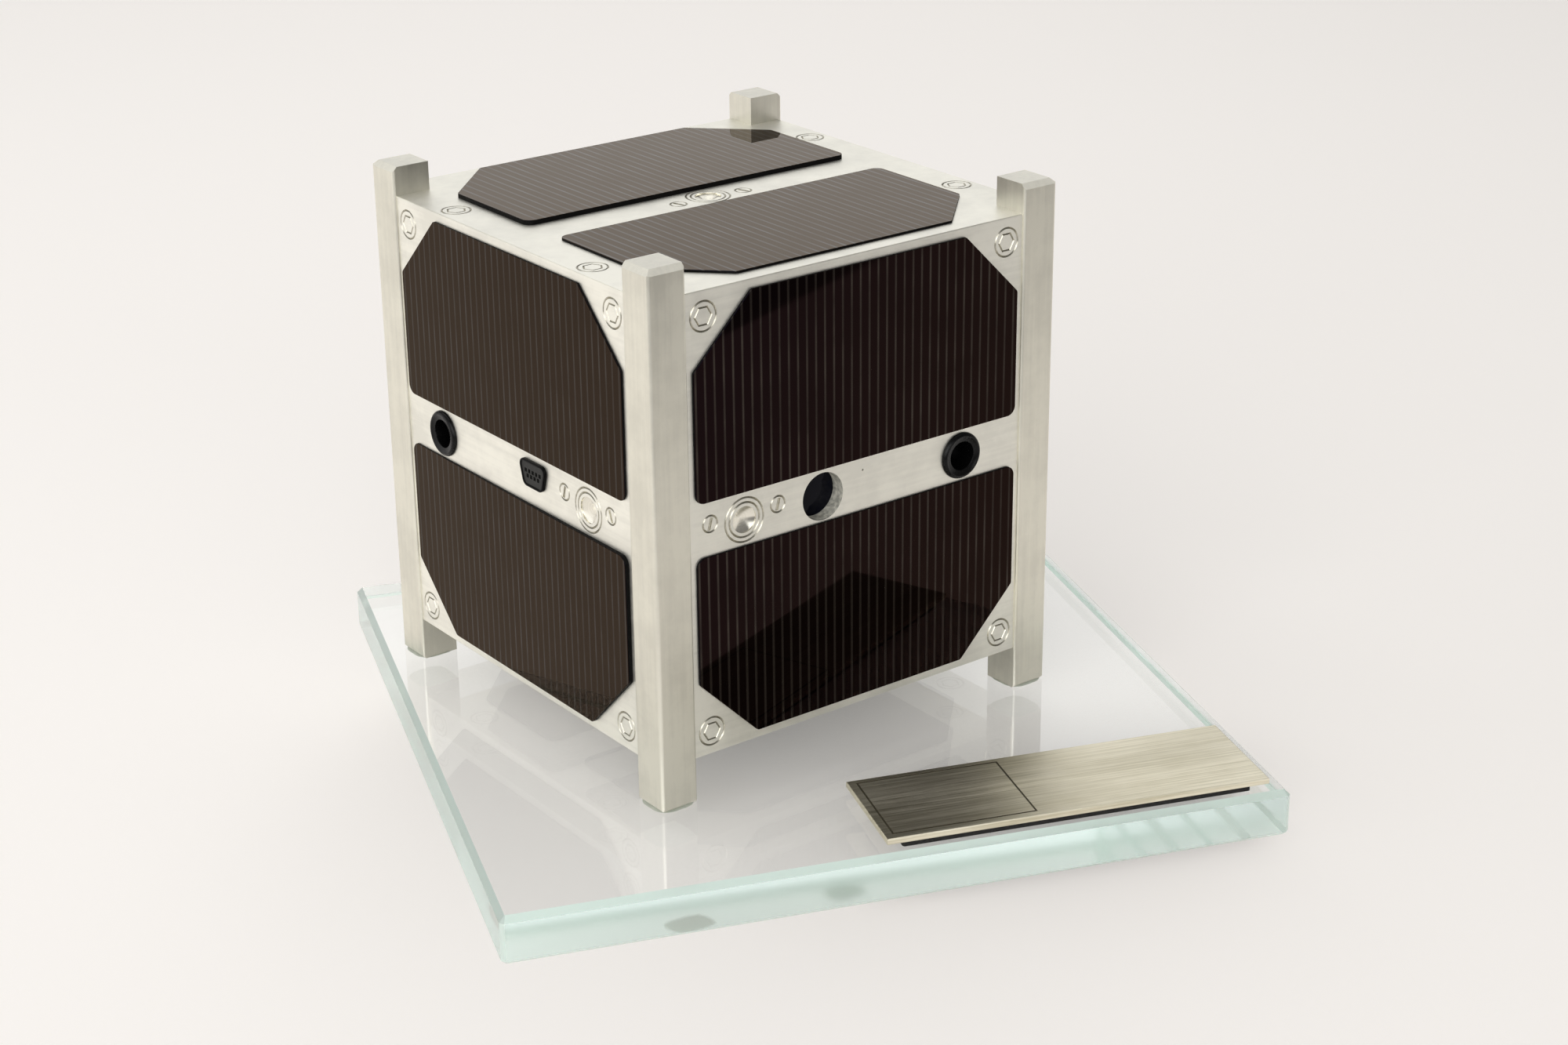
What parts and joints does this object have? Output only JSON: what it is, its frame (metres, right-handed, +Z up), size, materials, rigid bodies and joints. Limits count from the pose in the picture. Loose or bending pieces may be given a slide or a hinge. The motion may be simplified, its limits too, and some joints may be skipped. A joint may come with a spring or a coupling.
{
  "type": "cube satellite display model",
  "caption": "Full-size display model of a one-unit cube satellite with square rails and dark ribbed solar cells, standing turned on a square glass base with a blank name plate.",
  "frame": {"origin": "Centre of the glass base's underside", "axes": "+Z up, +X along the base's front edge, +Y from its front edge to its back edge; the name plate lies along the front edge, and the satellite stands turned 20 degrees about +Z"},
  "size_m": [0.16, 0.16, 0.121],
  "materials": {
    "rail_metal": "satin",
    "panel_metal": "satin",
    "cell_face": "glossy",
    "base_glass": "polished",
    "plate_metal": "brushed",
    "foam": "matte",
    "socket_black": "glossy",
    "lens_glass": "glossy",
    "connector_black": "satin",
    "connector_grey": "satin"
  },
  "bodies": {
    "root": {"base_glass": "base_glass", "name_plate": "plate_metal", "plate_pad": "foam", "rail_front_left": "rail_metal", "rail_front_right": "rail_metal", "rail_back_left": "rail_metal", "rail_back_right": "rail_metal", "panel_front": "panel_metal", "panel_left": "panel_metal", "panel_back": "panel_metal", "panel_right": "panel_metal", "panel_top": "panel_metal", "panel_bottom": "panel_metal", "cell_front_upper": "cell_face", "cell_front_lower": "cell_face", "cell_left_upper": "cell_face", "cell_left_lower": "cell_face", "cell_back_upper": "cell_face", "cell_back_lower": "cell_face", "cell_right_upper": "cell_face", "cell_right_lower": "cell_face", "cell_top_back": "cell_face", "cell_top_front": "cell_face", "cell_bottom_front": "cell_face", "cell_bottom_back": "cell_face", "socket_front": "socket_black", "socket_left": "socket_black", "camera_glass": "lens_glass", "connector_shell": "connector_black", "connector_insert": "connector_grey"}
  },
  "joints": []
}
